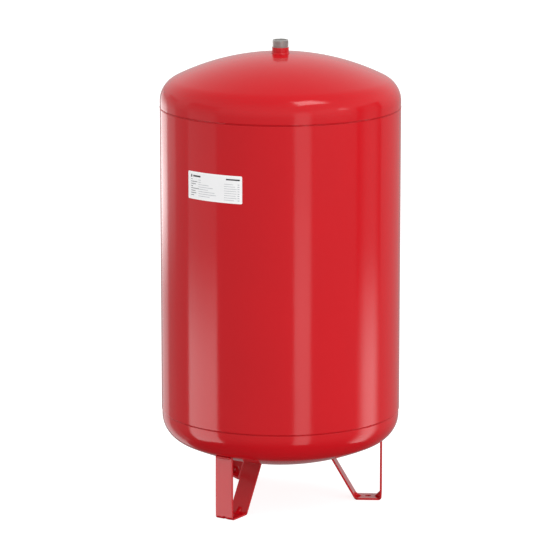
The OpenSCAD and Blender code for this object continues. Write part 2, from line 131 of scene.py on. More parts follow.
def finished(piece, *materials, crease=35):
    """Applies a piece's place, shades it smooth up to an angle and gives it its materials."""
    only_selected(piece)
    bpy.ops.object.transform_apply(location=True, rotation=True, scale=True)
    bpy.ops.object.shade_smooth_by_angle(angle=radians(crease))
    for material in materials:
        piece.data.materials.append(material)
    return piece


def colour(value):
    """An sRGB hex value as a linear colour."""
    channels = [int(value[i:i + 2], 16) / 255 for i in (1, 3, 5)]
    return [c / 12.92 if c <= 0.04045 else ((c + 0.055) / 1.055) ** 2.4 for c in channels] + [1]


def new_material(name, **sockets):
    """A material, its shader with these socket values, and the object's own coordinates."""
    material = bpy.data.materials.new(name)
    material.use_nodes = True
    shader = material.node_tree.nodes["Principled BSDF"]
    for socket, value in sockets.items():
        shader.inputs[socket.replace("_", " ").title().replace("Ior", "IOR")].default_value = value
    place = material.node_tree.nodes.new("ShaderNodeTexCoord").outputs["Object"]
    return material, shader, place


def add(material, kind, values, **settings):
    """Adds a node. A value that is another node's output is linked, and any other is set."""
    node = material.node_tree.nodes.new(kind)
    for setting, value in settings.items():
        setattr(node, setting, value)
    for socket, value in values.items():
        if isinstance(value, bpy.types.NodeSocket):
            material.node_tree.links.new(value, node.inputs[socket])
        else:
            node.inputs[socket].default_value = value
    return node.outputs


def link(material, output, shader, socket):
    """Links an output to one of the shader's sockets."""
    material.node_tree.links.new(output, shader.inputs[socket])


# Alkyd enamel, sprayed and stoved: a deep gloss red with the faint orange peel of spray paint,
# over rolled sheet that is never quite flat, so long reflections waver a little.
red_enamel, shader, place = new_material(
    "alkyd_enamel_sprayed_and_stoved", roughness=0.12, ior=1.45, specular_ior_level=0.46
)
drift = add(red_enamel, "ShaderNodeTexNoise", {"Vector": place, "Scale": 1 / 0.160, "Detail": 3})
reds = add(red_enamel, "ShaderNodeMix", {
    "Factor": drift["Fac"], "A": colour("#C8121C"), "B": colour("#BE0F19")
}, data_type="RGBA")
nibs = add(red_enamel, "ShaderNodeTexVoronoi", {"Vector": place, "Scale": 1 / 0.014})
nib = add(red_enamel, "ShaderNodeMapRange", {
    "Value": nibs["Distance"], "From Min": 0.02, "From Max": 0.06, "To Min": 1, "To Max": 0
})
dulled = add(red_enamel, "ShaderNodeMapRange", {
    "Value": drift["Fac"], "To Min": 0.09, "To Max": 0.17
})
sheet_wave = add(red_enamel, "ShaderNodeTexNoise", {"Vector": place, "Scale": 1 / 0.110})
peel = add(red_enamel, "ShaderNodeTexNoise", {"Vector": place, "Scale": 1 / 0.0028, "Detail": 1})
waved = add(red_enamel, "ShaderNodeBump", {
    "Height": sheet_wave["Fac"], "Distance": 0.25 * MM, "Strength": 1
})
peeled = add(red_enamel, "ShaderNodeBump", {
    "Height": peel["Fac"], "Normal": waved["Normal"], "Distance": 0.012 * MM, "Strength": 1
})
nibbed = add(red_enamel, "ShaderNodeBump", {
    "Height": nib["Result"], "Normal": peeled["Normal"], "Distance": 0.03 * MM, "Strength": 1
})
link(red_enamel, reds["Result"], shader, "Base Color")
link(red_enamel, dulled["Result"], shader, "Roughness")
link(red_enamel, nibbed["Normal"], shader, "Normal")

# Cold-rolled mild steel, uncoated: grey, with fine streaks along the rolling and thin brown
# patches where it has started to tarnish.
bare_steel, shader, place = new_material(
    "mild_steel_cold_rolled", metallic=0.9, roughness=0.4
)
stretched = add(bare_steel, "ShaderNodeMapping", {"Vector": place, "Scale": (1, 1, 0.05)})
streaks = add(bare_steel, "ShaderNodeTexNoise", {
    "Vector": stretched["Vector"], "Scale": 1 / 0.0016, "Detail": 3
})
patches = add(bare_steel, "ShaderNodeTexNoise", {"Vector": place, "Scale": 1 / 0.022, "Detail": 4})
tarnish = add(bare_steel, "ShaderNodeMapRange", {
    "Value": patches["Fac"], "From Min": 0.5, "From Max": 0.75, "To Min": 0, "To Max": 0.12
})
greys = add(bare_steel, "ShaderNodeMix", {
    "Factor": streaks["Fac"], "A": colour("#BDBBB8"), "B": colour("#DCDAD7")
}, data_type="RGBA")
tarnished = add(bare_steel, "ShaderNodeMix", {
    "Factor": tarnish["Result"], "A": greys["Result"], "B": colour("#9A8B80")
}, data_type="RGBA")
rubbed = add(bare_steel, "ShaderNodeMapRange", {
    "Value": streaks["Fac"], "To Min": 0.28, "To Max": 0.48
})
scored = add(bare_steel, "ShaderNodeBump", {
    "Height": streaks["Fac"], "Distance": 0.02 * MM, "Strength": 1
})
link(bare_steel, tarnished["Result"], shader, "Base Color")
link(bare_steel, rubbed["Result"], shader, "Roughness")
link(bare_steel, scored["Normal"], shader, "Normal")


def bare_inside(piece):
    """Gives the faces that look towards the axis the second material, outside a painted core."""
    for face in piece.data.polygons:
        outwards = Vector((face.center.x, face.center.y, 0)).normalized()
        if face.normal.dot(outwards) < -0.3 and face.center.xy.length > painted_core * MM:
            face.material_index = 1


# The rings a little way in from each end keep the long walls flat to the eye
shell = turned("shell_cylinder_sheet", rounded([
    (inner_r, lower_seam + half_gap, 0.2), (shell_r, lower_seam + half_gap, 0.9),
    (shell_r, lower_seam + flat_from_seam, 0), (shell_r, upper_seam - flat_from_seam, 0),
    (shell_r, upper_seam - half_gap, 0.9), (inner_r, upper_seam - half_gap, 0.2),
    (inner_r, upper_seam - flat_from_seam, 0), (inner_r, lower_seam + flat_from_seam, 0)
]))
finished(shell, red_enamel, bare_steel)
bare_inside(shell)
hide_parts("shell_cylinder")
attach(shell, "vessel")


# ---- Domes ----
# Two deep-drawn steel ends, each a shallow crown in a tight knuckle. Their rims are joggled
# inwards and slide into the shell. The lower one has a pocket pressed up for the gas valve.

spigot_r = inner_r - 0.15
spigot_length = 12
pocket_r = 30
pocket_depth = 26
boss_r = 10
pipe_r = 16.85
upper_crown = 479
upper_shape = (upper_crown, 50, 12.5)
lower_crown = 493
lower_shape = (lower_crown, 55, 9.5)


def dished(radius, shape, inward, hole):
    """One face of a pressed dome, from the top of its skirt to a hole at its crown. Its shape is
    its crown's radius, its knuckle's radius and its skirt's height."""
    crown, knuckle, skirt = shape
    reach = (radius - knuckle) / (crown - knuckle)
    tangent = degrees(acos(reach))
    centre = skirt - sqrt((crown - knuckle) ** 2 - (radius - knuckle) ** 2)
    last = degrees(acos(hole / (crown - inward)))
    return (
        arc((radius - knuckle, skirt), knuckle - inward, 0, tangent, 16)
        + arc((0, centre), crown - inward, tangent, last, 40)[1:]
    )


def joggle(radius):
    """The rim of a dome, from its inner face round the spigot to its outer face."""
    return [
        (radius - sheet, 3.5, 1.2), (spigot_r - sheet, 2, 1.2),
        (spigot_r - sheet, -spigot_length, 0.5), (spigot_r, -spigot_length, 0.5),
        (spigot_r, half_gap, 0.15), (radius, half_gap, 0.9), (radius, flat_from_seam, 0)
    ]


pipe_hole = pipe_r + 0.1
upper_face = dished(shell_r, upper_shape, 0, pipe_hole)
upper_back = dished(shell_r, upper_shape, sheet, pipe_hole)
upper = [(r, h, 0) for r, h in upper_face] + [(r, h, 0) for r, h in reversed(upper_back)]
dome = turned("upper_dome_pressing", rounded(
    [(r, upper_seam + h, f) for r, h, f in upper + joggle(shell_r)]
))
finished(dome, red_enamel, bare_steel)
bare_inside(dome)
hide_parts("upper_dome")
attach(dome, "vessel")
apex = upper_seam + upper_face[-1][1] + upper_crown - sqrt(upper_crown ** 2 - pipe_hole ** 2)

lower_r = shell_r - 1.2
lower_face = dished(lower_r, lower_shape, 0, pocket_r)
lower_back = dished(lower_r, lower_shape, sheet, pocket_r + sheet)
edge = lower_face[-1][1]
lowest = lower_seam - edge - lower_crown + sqrt(lower_crown ** 2 - pocket_r ** 2)
roof = lower_seam - lowest - pocket_depth
lower = (
    [(r, h, 0) for r, h in lower_face[:-1]]
    + [(pocket_r, edge, 2.5), (pocket_r, roof, 3.5), (boss_r + 0.1, roof, 0)]
    + [(boss_r + 0.1, roof - sheet, 0), (pocket_r + sheet, roof - sheet, 5.5)]
    + [(*lower_back[-1], 1)] + [(r, h, 0) for r, h in reversed(lower_back[:-1])]
)
dome = turned("lower_dome_pressing", rounded(
    [(r, lower_seam - h, f) for r, h, f in lower + joggle(lower_r)]
))
finished(dome, red_enamel, bare_steel)
bare_inside(dome)
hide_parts("lower_dome")
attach(dome, "vessel")


# ---- Shell welds ----
# Machine-laid butt welds: one round each end of the shell and one down its back, left as laid
# and painted over. The bead is a low cap with fine ripples, between two thin creases.

bead_half = half_gap - 0.3
bead_rise = 0.35
ripple_pitch = 2.4
ripple_height = 0.12
root_depth = 0.4
weld_angle = 105
long_bead_r = 0.9
long_bead_stop = 2
long_steps = 514


def rippled(piece, inside_r):
    """Gives a bead that runs round the axis its ripples, where it stands out from a radius."""
    count = round(2 * pi * inside_r / ripple_pitch)
    for vertex in piece.data.vertices:
        proud = vertex.co.xy.length / MM - inside_r
        if proud > 0.05:
            turn = atan2(vertex.co.y, vertex.co.x) / (2 * pi) * count
            share = min(proud / bead_rise, 1) * abs(sin(pi * turn))
            vertex.co.xy *= 1 + ripple_height * share / inside_r


for name, seam, face_r in (
    ("upper_girth_weld", upper_seam, shell_r), ("lower_girth_weld", lower_seam, lower_r)
):
    root = face_r - root_depth
    cap = [
        (root + (r - root) * (bead_rise + root_depth), seam + h * bead_half)
        for r, h in arc((root, 0), 1, -90, 90, 8)
    ]
    bead = turned(name + "_bead", [
        (spigot_r + 0.05, seam - bead_half), *cap, (spigot_r + 0.05, seam + bead_half)
    ], steps=1280)
    rippled(bead, root)
    finished(bead, red_enamel, crease=60)
    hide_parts(name)
    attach(bead, "vessel")

long_bead = ring_of("long_weld_bead", arc((0, 0), long_bead_r, 0, 345, 23))
bpy.ops.mesh.edge_face_add()
bpy.ops.object.mode_set(mode="OBJECT")
only_selected(long_bead)
long_bead.rotation_euler = (pi / 2, 0, 0)
bpy.ops.object.transform_apply(rotation=True)
bpy.ops.object.mode_set(mode="EDIT")
bpy.ops.mesh.select_all(action="SELECT")
long_length = upper_seam - lower_seam - 2 * long_bead_stop
for _ in range(long_steps):
    bpy.ops.mesh.extrude_region_move(TRANSFORM_OT_translate={
        "value": (0, 0, long_length / long_steps * MM)
    })
bpy.ops.mesh.select_all(action="SELECT")
bpy.ops.mesh.normals_make_consistent(inside=False)
bpy.ops.object.mode_set(mode="OBJECT")
for vertex in long_bead.data.vertices:
    swell = 1 + ripple_height * (abs(sin(pi * vertex.co.z / MM / ripple_pitch)) - 0.6)
    vertex.co.xy *= swell
    vertex.co.x *= 0.9
long_bead.location = (
    shell_r * cos(radians(weld_angle)) * MM, shell_r * sin(radians(weld_angle)) * MM,
    (lower_seam + long_bead_stop) * MM
)
long_bead.rotation_euler = (0, 0, radians(weld_angle))
finished(long_bead, red_enamel, crease=60)
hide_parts("long_weld")
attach(long_bead, "vessel")


# ---- Water connection ----
# A stub of steel pipe with a parallel 1 inch thread, set through the upper dome and
# fillet-welded round. The thread was masked from the paint, so it is bare, cut steel.

pipe_inset = 5
pipe_stand = 27
thread_length = 15
pipe_bottom = apex - sheet - pipe_inset
pipe_top = apex + pipe_stand
paint_line = pipe_top - thread_length
bore_r = 12.5
crest_r = 16.4
root_r = 15.1
pitch = 2.309
turns = 9


def screwed(piece, turns, rise, steps, end_sides):
    """Sweeps a closed wire up a helix into a solid with closed ends."""
    bpy.ops.object.mode_set(mode="OBJECT")
    screw = piece.modifiers.new("swept", "SCREW")
    screw.axis = "Z"
    screw.steps = screw.render_steps = steps
    screw.iterations = turns
    screw.screw_offset = rise * MM
    screw.use_normal_calculate = False
    bpy.ops.object.modifier_apply(modifier="swept")
    bpy.ops.object.mode_set(mode="EDIT")
    bpy.ops.mesh.select_all(action="SELECT")
    bpy.ops.mesh.remove_doubles(threshold=0.001 * MM)
    bpy.ops.mesh.select_all(action="SELECT")
    bpy.ops.mesh.fill_holes(sides=end_sides)
    bpy.ops.mesh.select_all(action="SELECT")
    bpy.ops.mesh.normals_make_consistent(inside=False)
    bpy.ops.object.mode_set(mode="OBJECT")


def combined(piece, tool, operation):
    """Cuts, trims or joins a piece with a tool, which is then removed."""
    only_selected(piece)
    boolean = piece.modifiers.new("cut", "BOOLEAN")
    boolean.operation = operation
    boolean.solver = "EXACT"
    boolean.object = tool
    bpy.ops.object.modifier_apply(modifier="cut")
    bpy.data.objects.remove(tool)


pipe = turned("connection_pipe", rounded([
    (bore_r, pipe_bottom, 0.4), (pipe_r, pipe_bottom, 0.4), (pipe_r, paint_line - 0.2, 0.4),
    (root_r, paint_line + 0.8, 0.2), (root_r, pipe_top - 0.3, 0.2), (root_r - 0.4, pipe_top, 0.2),
    (bore_r + 0.8, pipe_top, 0.2), (bore_r, pipe_top - 0.8, 0.2)
], steps=3), steps=96)

# One tooth of the thread, swept up the pipe by a Screw modifier and trimmed by a solid that
# has the lead-in chamfer at the pipe's mouth
first = paint_line - 2 * pitch
ridge = ring_of("thread_ridge", [
    (root_r - 0.6, first - 1.15), (root_r, first - 0.95), (crest_r, first - 0.18),
    (crest_r, first + 0.18), (root_r, first + 0.95), (root_r - 0.6, first + 1.15)
])
screwed(ridge, turns, pitch, steps=72, end_sides=8)
trim = turned("thread_trim", [
    (13.5, paint_line + 0.5), (crest_r + 1, paint_line + 0.5), (crest_r + 1, pipe_top - 2.4),
    (root_r - 0.5, pipe_top - 0.4), (13.5, pipe_top - 0.4)
], steps=96)
combined(ridge, trim, "INTERSECT")
combined(pipe, ridge, "UNION")
finished(pipe, red_enamel, bare_steel, crease=28)
for face in pipe.data.polygons:
    on_bore = face.center.xy.length < (bore_r + 1) * MM
    if on_bore or face.center.z > (paint_line - 0.1) * MM or face.center.z < (apex - sheet) * MM:
        face.material_index = 1
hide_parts("connection_nipple")
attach(pipe, "vessel")

# A small fillet weld, rippled all round the pipe
ripples_round = 36
toe = pipe_r + 1.7
foot = apex - upper_crown + sqrt(upper_crown ** 2 - toe ** 2)
pipe_bead = turned("nipple_weld_bead", [
    (pipe_r + 0.03, apex - 0.3), (toe, foot + 0.03), (toe - 0.3, foot + 0.7),
    (toe - 0.9, foot + 1.5), (toe - 1.5, foot + 2.2), (toe - 2, foot + 2.8),
    (pipe_r + 0.03, foot + 3)
], steps=192)
for vertex in pipe_bead.data.vertices:
    if foot + 0.5 < vertex.co.z / MM < foot + 2.9 and vertex.co.xy.length > (pipe_r + 0.2) * MM:
        turn = atan2(vertex.co.y, vertex.co.x) / (2 * pi) * ripples_round
        vertex.co.xy *= 1 + 0.012 * (abs(sin(pi * turn)) - 0.5)
finished(pipe_bead, red_enamel, crease=60)
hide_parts("nipple_weld")
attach(pipe_bead, "vessel")


# ---- Inlet guard ----
# A drilled disc on three posts under the pipe's mouth keeps the diaphragm out of the pipe.
# It is pressed from sheet, zinc plated, and spot-welded by its posts.

# Zinc plate, clear passivated: a pale blue-grey metal with faint yellow and blue clouds.
zinc_steel, shader, place = new_material(
    "zinc_plate_clear_passivated", metallic=1, roughness=0.3
)
clouds = add(zinc_steel, "ShaderNodeTexNoise", {"Vector": place, "Scale": 1 / 0.030, "Detail": 3})
tints = add(zinc_steel, "ShaderNodeMix", {
    "Factor": clouds["Fac"], "A": colour("#B7BDC6"), "B": colour("#C9C5B6")
}, data_type="RGBA")
grains = add(zinc_steel, "ShaderNodeTexVoronoi", {"Vector": place, "Scale": 1 / 0.0012})
hazed = add(zinc_steel, "ShaderNodeMapRange", {
    "Value": clouds["Fac"], "To Min": 0.24, "To Max": 0.42
})
grained = add(zinc_steel, "ShaderNodeBump", {
    "Height": grains["Distance"], "Distance": 0.01 * MM, "Strength": 1
})
link(zinc_steel, tints["Result"], shader, "Base Color")
link(zinc_steel, hazed["Result"], shader, "Roughness")
link(zinc_steel, grained["Normal"], shader, "Normal")


def coated(material, *nodes):
    """Gives CAD nodes a material."""
    for node in nodes:
        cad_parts[node].material_slots[0].material = material


coated(zinc_steel, "inlet_guard")


# ---- Legs ----
# Three legs of 40 x 4 mm flat bar, folded into an upright, a foot and a slanted brace. Each
# fold has a dart pressed into it to stiffen it, and each foot is punched for a floor bolt.

leg_r = 208
leg_width = 40
bar = 4
bend_r = 7
foot_length = 50
foot_end = leg_r - foot_length
lean = 30
leg_turns = (-3, 117, 237)
hole_r = 6
hole_setback = 28
dart = 11
lower_centre = lowest + lower_crown
brace_foot = Vector((foot_end - bend_r * cos(radians(lean)), bend_r * (1 - sin(radians(lean)))))
brace_way = Vector((-sin(radians(lean)), cos(radians(lean))))
brace_side = Vector((-cos(radians(lean)), -sin(radians(lean))))


def distance_to_dome(start, way, radius):
    """How far a line in (radius, height) runs before it meets a sphere round the lower crown."""
    start = start - Vector((0, lower_centre))
    along = start.dot(way)
    return -along - sqrt(along ** 2 - start.dot(start) + radius ** 2)


def spaced(start, end, gap):
    """Points from start towards end, a gap apart, without the last one."""
    count = max(round((end - start).length / gap), 1)
    return [tuple(start.lerp(end, i / count)) for i in range(count)]


def bar_face(inward):
    """The side outline of one face of the bar, from the upright's top to the brace's top."""
    r = bend_r - inward
    upright = Vector((leg_r - inward, 160))
    brace_top = brace_foot + brace_way * 150 - brace_side * inward
    near = Vector((leg_r - inward, 26))
    floor_end = Vector((foot_end, inward))
    brace_near = brace_foot + brace_way * 20 - brace_side * inward
    return (
        [tuple(upright)]
        + spaced(near, Vector((leg_r - inward, bend_r)), 1.5)
        + arc((leg_r - bend_r, bend_r), r, 0, -90, 10)
        + spaced(
            Vector((leg_r - bend_r - 1.5, inward)), Vector((leg_r - bend_r - 14, inward)), 1.5
        )
        + spaced(Vector((foot_end + 16, inward)), floor_end, 1.5)
        + arc((foot_end, bend_r), r, -90, -180 + lean, 8)
        + spaced(brace_foot + brace_way * 1.5 - brace_side * inward, brace_near, 1.5)
        + [tuple(brace_near), tuple(brace_top)]
    )


outer_face, inner_face = bar_face(0), bar_face(bar)
nothing_selected()
bpy.ops.mesh.primitive_grid_add(x_subdivisions=len(outer_face) - 1, y_subdivisions=1)
leg = bpy.context.object
for vertex, (x, z) in zip(leg.data.vertices, outer_face + inner_face):
    vertex.co = (x * MM, -leg_width / 2 * MM, z * MM)
bpy.ops.object.mode_set(mode="EDIT")
bpy.ops.mesh.select_all(action="SELECT")
columns = [-20, -14, -10, -7.5, -6.5, -5.5, -4.5, -3.5, -2.5, -1.5, -0.5,
           0.5, 1.5, 2.5, 3.5, 4.5, 5.5, 6.5, 7.5, 10, 14, 20]
for left, right in zip(columns, columns[1:]):
    bpy.ops.mesh.extrude_region_move(TRANSFORM_OT_translate={"value": (0, (right - left) * MM, 0)})
for start, way in ((Vector((leg_r, 0)), Vector((0, 1))), (brace_foot, brace_way)):
    end = start + way * distance_to_dome(start, way, lower_crown + 0.2)
    out = (Vector((0, lower_centre)) - end).normalized()
    bpy.ops.mesh.select_all(action="DESELECT")
    bpy.ops.object.mode_set(mode="OBJECT")
    for vertex in leg.data.vertices:
        point = Vector((vertex.co.x, vertex.co.z)) / MM - start
        vertex.select = point.dot(way) > 19.9 and abs(point.cross(way)) < bar + 1
    bpy.ops.object.mode_set(mode="EDIT")
    bpy.ops.mesh.bisect(
        plane_co=(end.x * MM, 0, end.y * MM), plane_no=(out.x, 0, out.y),
        use_fill=True, clear_outer=True
    )
bpy.ops.mesh.select_all(action="SELECT")
bpy.ops.mesh.normals_make_consistent(inside=False)

# The long edges of rolled bar are slightly round
bpy.ops.mesh.select_all(action="DESELECT")
bpy.ops.object.mode_set(mode="OBJECT")
for bar_edge in leg.data.edges:
    ends = [leg.data.vertices[v].co.y / MM for v in bar_edge.vertices]
    bar_edge.select = min(abs(y) for y in ends) > leg_width / 2 - 0.01 and ends[0] * ends[1] > 0
bpy.ops.object.mode_set(mode="EDIT")
bpy.ops.mesh.bevel(offset=0.7 * MM, segments=3)
bpy.ops.object.mode_set(mode="OBJECT")


def on_outer_face(point):
    """True for a point of the bar's outer face, by its distance to that face's outline."""
    x, z = point
    centre = None
    if x > leg_r - bend_r and z < bend_r:
        centre = (leg_r - bend_r, bend_r)
    elif x < foot_end:
        from_bend = point - Vector((foot_end, bend_r))
        if from_bend.angle(Vector((0, -1))) < radians(90 - lean):
            centre = (foot_end, bend_r)
    if centre:
        return hypot(x - centre[0], z - centre[1]) > bend_r - bar / 2
    if x >= leg_r - bend_r:
        return x > leg_r - bar / 2
    if x >= foot_end:
        return z < bar / 2
    return (point - brace_foot).dot(brace_side) > -bar / 2


def press_dart(piece, corner, way, reach):
    """Presses a dart along way into the fold at a corner, with a smaller dent on the outside. It
    is full height near the bar's middle and fades to none to each side."""
    inner_plane = corner.dot(way) + reach
    for vertex in piece.data.vertices:
        point = Vector((vertex.co.x, vertex.co.z)) / MM
        depth = point.dot(way)
        off = abs(vertex.co.y / MM)
        plane, full, none = (
            (inner_plane - bar - 4.5, 1.2, 4.2) if on_outer_face(point)
            else (inner_plane, 2.0, 6.2)
        )
        share = min(max((none - off) / (none - full), 0), 1)
        share = share * share * (3 - 2 * share)
        if depth < plane and (point - corner).length < 26 and share > 0:
            moved = point + way * (plane - depth) * share
            vertex.co.x, vertex.co.z = moved.x * MM, moved.y * MM


inner_corner = Vector((leg_r - bar, bar))
half_turn = radians((90 - lean) / 2)
mitre = (bend_r - bar) / cos(half_turn)
brace_corner = Vector((foot_end, bend_r)) + mitre * Vector((-sin(half_turn), -cos(half_turn)))
press_dart(leg, inner_corner, Vector((-1, 1)).normalized(), dart / sqrt(2))
press_dart(
    leg, brace_corner, Vector((sin(half_turn), cos(half_turn))), dart * sin(half_turn)
)

punch_x = (leg_r - hole_setback) * MM
nothing_selected()
bpy.ops.mesh.primitive_cylinder_add(
    vertices=64, radius=hole_r * MM, depth=20 * MM, location=(punch_x, 0, 0)
)
combined(leg, bpy.context.object, "DIFFERENCE")
finished(leg, red_enamel, crease=35)

# The bar's faces shade flat up to its rounded edges
flat = leg.modifiers.new("flat_faces", "WEIGHTED_NORMAL")
flat.keep_sharp = True
bpy.ops.object.modifier_apply(modifier="flat_faces")
for name, turn in zip(("leg_right", "leg_back", "leg_front_left"), leg_turns):
    one = leg.copy()
    one.data = leg.data.copy()
    one.name = name + "_bar"
    bpy.context.collection.objects.link(one)
    one.rotation_euler = (0, 0, radians(turn))
    only_selected(one)
    bpy.ops.object.transform_apply(rotation=True)
    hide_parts(name)
    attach(one, "vessel")
bpy.data.objects.remove(leg)


# ---- Leg welds ----
# A hand-laid fillet weld joins each end of the bar to the dome, a fat bead with overlapping
# ripples, stopped short of the bar's corners and painted with the rest.

bead_r = 2.5
bead_length = 35
ripples = 14
bead_sunk = 0.35
side_outline = [(0, -bead_length / 2)] + [
    (
        bead_r * sqrt(max(1 - max(abs(t) - 0.88, 0) ** 2 / 0.12 ** 2, 0.02))
        * (0.9 + 0.1 * abs(sin(ripples * pi * (t + 1) / 2))),
        t * bead_length / 2,
    )
    for t in [-1 + 2 * i / 84 for i in range(85)]
] + [(0, bead_length / 2)]
fillet = turned("leg_weld_beads", side_outline, steps=20)
beads = []
for turn in leg_turns:
    for start, way, side in (
        (Vector((leg_r, 0)), Vector((0, 1)), Vector((1, 0))), (brace_foot, brace_way, brace_side)
    ):
        stand = bead_r - bead_sunk
        line = start + stand * side
        spot = line + distance_to_dome(line, way, lower_crown + stand) * way
        bead = fillet.copy()
        bead.data = fillet.data.copy()
        bpy.context.collection.objects.link(bead)
        a = radians(turn)
        bead.location = (spot.x * cos(a) * MM, spot.x * sin(a) * MM, spot.y * MM)
        bead.rotation_euler = (pi / 2, 0, a)
        beads.append(bead)
bpy.data.objects.remove(fillet)
nothing_selected()
for bead in beads:
    bead.select_set(True)
bpy.context.view_layer.objects.active = beads[0]
bpy.ops.object.transform_apply(location=True, rotation=True, scale=True)
bpy.ops.object.join()
beads[0].name = "leg_weld_beads"
finished(beads[0], red_enamel, crease=60)
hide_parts("leg_welds")
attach(beads[0], "vessel")


# ---- Label ----
# A printed film stuck round the shell at the front left: a white border, a panel a shade less
# white, and generic bars and rules in place of any words or marks.

label_width = 128
label_height = 55
label_middle = 681
label_turn = 236.9
film = 0.4
strip = 3
border = 4
row_pitch = 4.5

# Polyester film, printed white and overlaminated: smooth, satin, with the faint unevenness of
# the adhesive under it.
label_film, shader, place = new_material(
    "polyester_film_laminated", roughness=0.35, coat_weight=0.2
)
blotch = add(label_film, "ShaderNodeTexNoise", {"Vector": place, "Scale": 1 / 0.025, "Detail": 3})
whites = add(label_film, "ShaderNodeMix", {
    "Factor": blotch["Fac"], "A": colour("#FFFFFE"), "B": colour("#FBFBFB")
}, data_type="RGBA")
rise = add(label_film, "ShaderNodeBump", {
    "Height": blotch["Fac"], "Distance": 0.05 * MM, "Strength": 1
})
link(label_film, whites["Result"], shader, "Base Color")
link(label_film, rise["Normal"], shader, "Normal")


def ink(name, dense, thin):
    """Screen-printed ink: flat and satin, a little uneven where the screen laid it thinner."""
    material, shader, place = new_material(name, roughness=0.45)
    screen = add(material, "ShaderNodeTexNoise", {
        "Vector": place, "Scale": 1 / 0.0015, "Detail": 2
    })
    laid = add(material, "ShaderNodeMix", {
        "Factor": screen["Fac"], "A": colour(dense), "B": colour(thin)
    }, data_type="RGBA")
    link(material, laid["Result"], shader, "Base Color")
    return material


grey_panel = ink("screen_ink_pale_grey", "#F5F5F6", "#FAFAFA")
dark_ink = ink("screen_ink_black", "#232226", "#38363A")
rule_ink = ink("screen_ink_mid_grey", "#77787C", "#8F9094")
faint_ink = ink("screen_ink_light_grey", "#AEB0B5", "#BEC0C4")


def laid_round(name, blocks, low, high, corner, material):
    """Flat blocks of (left, bottom, width, height) in mm, laid round the shell at the label."""
    laid = []
    for left, bottom, width, height in blocks:
        nothing_selected()
        bpy.ops.mesh.primitive_cube_add(size=1, location=(left + width / 2, bottom + height / 2, 0))
        block = bpy.context.object
        block.scale = (width, height, 1)
        bpy.ops.object.transform_apply(location=True, rotation=True, scale=True)
        if corner:
            bpy.ops.object.mode_set(mode="EDIT")
            bpy.ops.mesh.select_mode(type="EDGE")
            bpy.ops.mesh.select_all(action="DESELECT")
            bpy.ops.object.mode_set(mode="OBJECT")
            for block_edge in block.data.edges:
                ends = [block.data.vertices[v].co for v in block_edge.vertices]
                block_edge.select = abs(ends[0].z - ends[1].z) > 0.5
            bpy.ops.object.mode_set(mode="EDIT")
            bpy.ops.mesh.bevel(offset=min(corner, width / 2.01, height / 2.01), segments=6)
            bpy.ops.object.mode_set(mode="OBJECT")
        bpy.ops.object.mode_set(mode="EDIT")
        for cut in range(1, int(width / strip) + 1):
            bpy.ops.mesh.select_all(action="SELECT")
            bpy.ops.mesh.bisect(plane_co=(left + cut * strip - 0.013, 0, 0), plane_no=(1, 0, 0))
        bpy.ops.object.mode_set(mode="OBJECT")
        laid.append(block)
    nothing_selected()
    for block in laid:
        block.select_set(True)
    bpy.context.view_layer.objects.active = laid[0]
    if len(laid) > 1:
        bpy.ops.object.join()
    piece = laid[0]
    piece.name = name
    for vertex in piece.data.vertices:
        radius = shell_r + (low if vertex.co.z < 0 else high)
        angle = radians(label_turn) + vertex.co.x / shell_r
        height = label_middle + vertex.co.y
        vertex.co = (radius * cos(angle) * MM, radius * sin(angle) * MM, height * MM)
    return finished(piece, material, crease=30)


half_width = label_width / 2
half_height = label_height / 2
film_piece = laid_round(
    "rating_label_film", [(-half_width, -half_height, label_width, label_height)],
    0.03, film - 0.06, 2.5, label_film
)
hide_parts("rating_label")
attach(film_piece, "vessel")

panel = laid_round("label_panel_print", [(
    -half_width + border, -half_height + border,
    label_width - 2 * border, label_height - 2 * border
)], film - 0.07, film - 0.04, 1, grey_panel)
left = -half_width + border + 4
right = half_width - border - 0.6
top = half_height - border - 2
marks = laid_round("label_mark_print", [
    (left, top - 5.5, 3.2, 5.6), (left + 6, top - 4.2, 19.5, 3.2),
    (right - 29.5, top - 3.4, 29.5, 2.8)
], film - 0.05, film - 0.01, 0.8, dark_ink)

# Each row has a dark rule, a faint one after it, and a faint pair at the right
rows = []
faint_rows = []
for i, (dark_run, middle_run, right_run) in enumerate((
    (4, 6, 20), (17, 6, 24), (13, 26, 27), (5, 36, 27),
    (21, 24, 27), (12, 40, 25), (14, 44, 27), (8, 28, 22)
)):
    height = top - 10 - row_pitch * i
    rows.append((left, height, dark_run, 1.4))
    faint_rows.append((left + 20, height - 0.2, middle_run, 1))
    faint_rows.append((right - 34, height - 2, right_run, 0.9))
    faint_rows.append((right - 5, height - 2, 4, 1.3))
rules = laid_round("label_rule_print", rows, film - 0.05, film - 0.02, 0, rule_ink)
faint_rules = laid_round(
    "label_faint_rule_print", faint_rows, film - 0.05, film - 0.025, 0, faint_ink
)
for printed in (panel, marks, rules, faint_rules):
    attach(printed, "vessel")


# ---- Diaphragm and clamp ----
# A moulded butyl bag hangs in the shell from a rim that a clamp ring and a split retaining
# ring hold down on a welded support ring. It rolls upwards as the gas pushes the water out.

seat = 488
rubber = 3
bag_r = 221.4
rim_r = 235.9
rim_inner = 229.9
bag_depth = 190
bag_crown = 420
bag_knuckle = 60
wall_rows = 30

